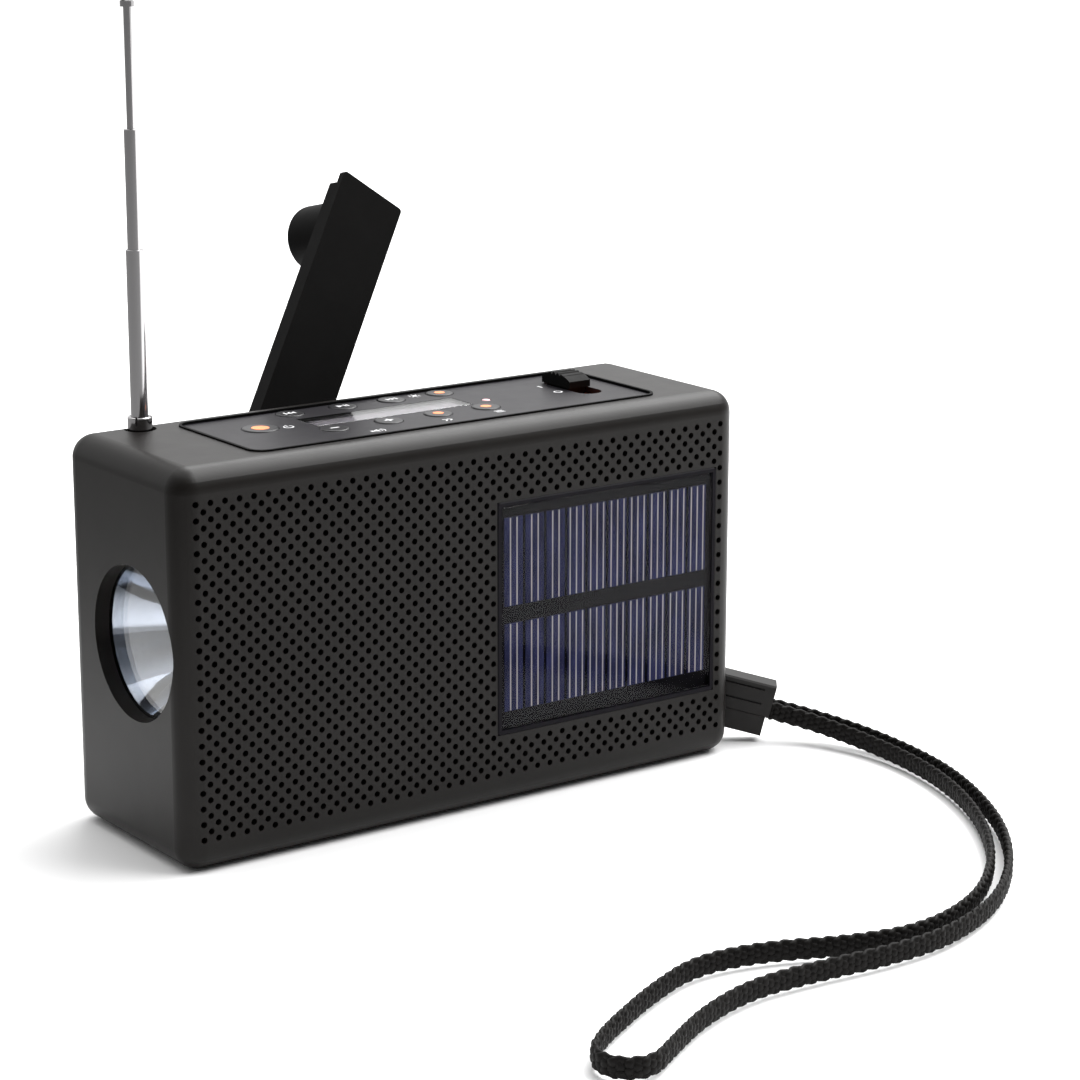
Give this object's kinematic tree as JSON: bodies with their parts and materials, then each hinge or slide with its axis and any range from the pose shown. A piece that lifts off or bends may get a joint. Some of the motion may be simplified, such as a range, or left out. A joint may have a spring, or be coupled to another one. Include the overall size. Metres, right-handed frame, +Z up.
{
  "type": "emergency radio",
  "caption": "Pocket emergency radio with fold-out hand crank, solar panel, flashlight end, telescopic antenna, top keys with display, and a wrist strap.",
  "frame": {"origin": "middle of the case's flat bottom face", "axes": "+Z up, the perforated front with the solar panel faces -Y, the flashlight end faces -X and the strap end faces +X"},
  "size_m": [0.1789, 0.2258, 0.1841],
  "materials": {
    "case": "soft-touch dark warm grey, matt",
    "panel": "satin dark grey",
    "key": "satin dark grey with a printed dot or symbol",
    "crank": "satin black",
    "knob": "satin black",
    "chrome_tube": "bright chrome",
    "reflector": "mirror chrome",
    "lens": "clear",
    "display_pane": "grey display window",
    "display": "display module",
    "solar_glass": "clear resin, glossy, rounded edges",
    "solar_cell": "navy cells with light fingers",
    "solar_black": "black board and rim",
    "orange": "orange slider",
    "status": "small clear light",
    "inner_plastic": "plain moulded",
    "board": "green circuit board",
    "steel": "zinc plated",
    "brass": "plain",
    "gear": "natural nylon",
    "battery": "plain shrink sleeve",
    "paper": "black paper cone",
    "cloth": "thin black cloth",
    "strap": "black flat braid",
    "clip": "black moulded rubber"
  },
  "bodies": {
    "radio": {"front_case": "case", "front_grille": "case", "rear_cover": "case", "cover_screws": "steel", "speaker_cloth": "cloth", "speaker_frame": "steel", "speaker_cone": "paper", "speaker_magnet": "steel", "solar_tray": "inner_plastic", "solar_rim": "solar_black", "solar_board": "solar_black", "solar_cells": "solar_cell", "solar_cover": "solar_glass", "control_panel": "panel", "display_window": "display_pane", "display_module": "display", "status_light": "status", "slide_switch": "inner_plastic", "keypad_board": "board", "keypad_switches": "inner_plastic", "flashlight_lens": "lens", "flashlight_reflector": "reflector", "flashlight_board": "board", "flashlight_led": "status", "antenna_bushing": "chrome_tube", "antenna_bracket": "brass", "gear_pin": "steel", "generator_can": "steel", "gear_plate": "steel", "battery": "battery", "battery_tray": "inner_plastic", "main_board": "board", "usb_socket": "steel", "headphone_jack": "inner_plastic", "strap_clip": "clip", "strap_pin": "steel", "wrist_strap": "strap"},
    "crank_hub": {"crank_hub": "crank", "hinge_pin": "steel", "crank_gear": "gear"},
    "crank_arm": {"crank_arm": "crank", "knob_pin": "steel"},
    "crank_knob": {"crank_knob": "knob"},
    "double_gear": {"double_gear": "gear"},
    "generator_rotor": {"generator_pinion": "brass"},
    "antenna_tube_1": {"antenna_tube_1": "chrome_tube"},
    "antenna_tube_2": {"antenna_tube_2": "chrome_tube"},
    "antenna_rod": {"antenna_rod": "chrome_tube", "antenna_tip": "chrome_tube"},
    "power_switch": {"power_knob": "knob", "power_slider": "orange"},
    "power_button": {"power_button": "key"},
    "minus_button": {"minus_button": "key"},
    "plus_button": {"plus_button": "key"},
    "scan_button": {"scan_button": "key"},
    "mode_button": {"mode_button": "key"},
    "previous_button": {"previous_button": "key"},
    "play_button": {"play_button": "key"},
    "next_button": {"next_button": "key"},
    "light_button": {"light_button": "key"}
  },
  "joints": [
    {"name": "crank_turn", "type": "hinge", "parent": "radio", "child": "crank_hub", "pos_m": [-0.0283, 0.0239, 0.062], "axis": [0, 1, 0], "continuous": true},
    {"name": "crank_fold", "type": "hinge", "parent": "crank_hub", "child": "crank_arm", "pos_m": [-0.0283, 0.0239, 0.062], "axis": [-0.829, 0, 0.5592], "range_deg": [0, 146]},
    {"name": "knob_spin", "type": "hinge", "parent": "crank_arm", "child": "crank_knob", "pos_m": [0.01253, 0.04347, 0.12254], "axis": [-0.1447, 0.9659, -0.2146], "continuous": true},
    {"name": "double_gear_spin", "type": "hinge", "parent": "radio", "child": "double_gear", "pos_m": [-0.01052, 0.01, 0.04955], "axis": [0, 1, 0], "continuous": true},
    {"name": "generator_spin", "type": "hinge", "parent": "radio", "child": "generator_rotor", "pos_m": [0.00228, 0.005, 0.05181], "axis": [0, 1, 0], "continuous": true},
    {"name": "antenna_1_slide", "type": "slide", "parent": "radio", "child": "antenna_tube_1", "axis": [0, 0, 1], "range_m": [-0.036, 0.028]},
    {"name": "antenna_2_slide", "type": "slide", "parent": "antenna_tube_1", "child": "antenna_tube_2", "axis": [0, 0, 1], "range_m": [-0.0255, 0.038]},
    {"name": "antenna_3_slide", "type": "slide", "parent": "antenna_tube_2", "child": "antenna_rod", "axis": [0, 0, 1], "range_m": [-0.025, 0.038]},
    {"name": "power_switch_slide", "type": "slide", "parent": "radio", "child": "power_switch", "axis": [0, 1, 0], "range_m": [-0.006, 0]},
    {"name": "power_button_press", "type": "slide", "parent": "radio", "child": "power_button", "axis": [0, 0, -1], "range_m": [0, 0.0005], "stiffness_N_per_m": 400, "springref_m": -0.0005},
    {"name": "minus_button_press", "type": "slide", "parent": "radio", "child": "minus_button", "axis": [0, 0, -1], "range_m": [0, 0.0005], "stiffness_N_per_m": 400, "springref_m": -0.0005},
    {"name": "plus_button_press", "type": "slide", "parent": "radio", "child": "plus_button", "axis": [0, 0, -1], "range_m": [0, 0.0005], "stiffness_N_per_m": 400, "springref_m": -0.0005},
    {"name": "scan_button_press", "type": "slide", "parent": "radio", "child": "scan_button", "axis": [0, 0, -1], "range_m": [0, 0.0005], "stiffness_N_per_m": 400, "springref_m": -0.0005},
    {"name": "mode_button_press", "type": "slide", "parent": "radio", "child": "mode_button", "axis": [0, 0, -1], "range_m": [0, 0.0005], "stiffness_N_per_m": 400, "springref_m": -0.0005},
    {"name": "previous_button_press", "type": "slide", "parent": "radio", "child": "previous_button", "axis": [0, 0, -1], "range_m": [0, 0.0005], "stiffness_N_per_m": 400, "springref_m": -0.0005},
    {"name": "play_button_press", "type": "slide", "parent": "radio", "child": "play_button", "axis": [0, 0, -1], "range_m": [0, 0.0005], "stiffness_N_per_m": 400, "springref_m": -0.0005},
    {"name": "next_button_press", "type": "slide", "parent": "radio", "child": "next_button", "axis": [0, 0, -1], "range_m": [0, 0.0005], "stiffness_N_per_m": 400, "springref_m": -0.0005},
    {"name": "light_button_press", "type": "slide", "parent": "radio", "child": "light_button", "axis": [0, 0, -1], "range_m": [0, 0.0005], "stiffness_N_per_m": 400, "springref_m": -0.0005}
  ],
  "couplings": [
    {"joint": "double_gear_spin", "follows": "crank_turn", "ratio": -3.4286},
    {"joint": "generator_spin", "follows": "crank_turn", "ratio": 11.429}
  ]
}
